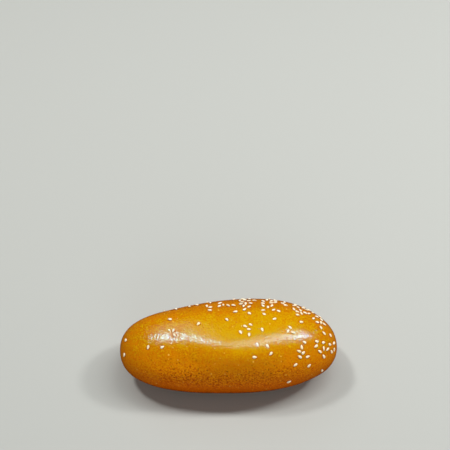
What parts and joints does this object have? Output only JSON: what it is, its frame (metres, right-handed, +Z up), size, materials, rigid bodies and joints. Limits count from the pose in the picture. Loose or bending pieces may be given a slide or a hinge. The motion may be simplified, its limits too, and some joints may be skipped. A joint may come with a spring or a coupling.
{
  "type": "hot dog bun",
  "caption": "Long glossy baked hot dog bun with rounded ends and a flat sole, its crust scattered with sesame seeds.",
  "frame": {"origin": "on the flat sole, under the middle of the bun's box", "axes": "+X along the bun towards its blunter, more thickly seeded end, +Y to its back, +Z up through the crown"},
  "size_m": [0.155, 0.0678, 0.0533],
  "materials": {
    "crust": "egg-washed crust, glossy on top and matt underneath",
    "sesame": "hulled sesame seed, satin"
  },
  "bodies": {
    "root": {"bun": "crust", "sesame_seed_01": "sesame", "sesame_seed_02": "sesame", "sesame_seed_03": "sesame", "sesame_seed_04": "sesame", "sesame_seed_05": "sesame", "sesame_seed_06": "sesame", "sesame_seed_07": "sesame", "sesame_seed_08": "sesame", "sesame_seed_09": "sesame", "sesame_seed_10": "sesame", "sesame_seed_11": "sesame", "sesame_seed_12": "sesame", "sesame_seed_13": "sesame", "sesame_seed_14": "sesame", "sesame_seed_15": "sesame", "sesame_seed_16": "sesame", "sesame_seed_17": "sesame", "sesame_seed_18": "sesame", "sesame_seed_19": "sesame", "sesame_seed_20": "sesame", "sesame_seed_21": "sesame", "sesame_seed_22": "sesame", "sesame_seed_23": "sesame", "sesame_seed_24": "sesame", "sesame_seed_25": "sesame", "sesame_seed_26": "sesame", "sesame_seed_27": "sesame", "sesame_seed_28": "sesame", "sesame_seed_29": "sesame", "sesame_seed_30": "sesame", "sesame_seed_31": "sesame", "sesame_seed_32": "sesame", "sesame_seed_33": "sesame", "sesame_seed_34": "sesame", "sesame_seed_35": "sesame", "sesame_seed_36": "sesame", "sesame_seed_37": "sesame", "sesame_seed_38": "sesame", "sesame_seed_39": "sesame", "sesame_seed_40": "sesame", "sesame_seed_41": "sesame", "sesame_seed_42": "sesame", "sesame_seed_43": "sesame", "sesame_seed_44": "sesame", "sesame_seed_45": "sesame", "sesame_seed_46": "sesame", "sesame_seed_47": "sesame", "sesame_seed_48": "sesame", "sesame_seed_49": "sesame", "sesame_seed_50": "sesame", "sesame_seed_51": "sesame", "sesame_seed_52": "sesame", "sesame_seed_53": "sesame", "sesame_seed_54": "sesame", "sesame_seed_55": "sesame", "sesame_seed_56": "sesame", "sesame_seed_57": "sesame", "sesame_seed_58": "sesame", "sesame_seed_59": "sesame"}
  },
  "joints": []
}
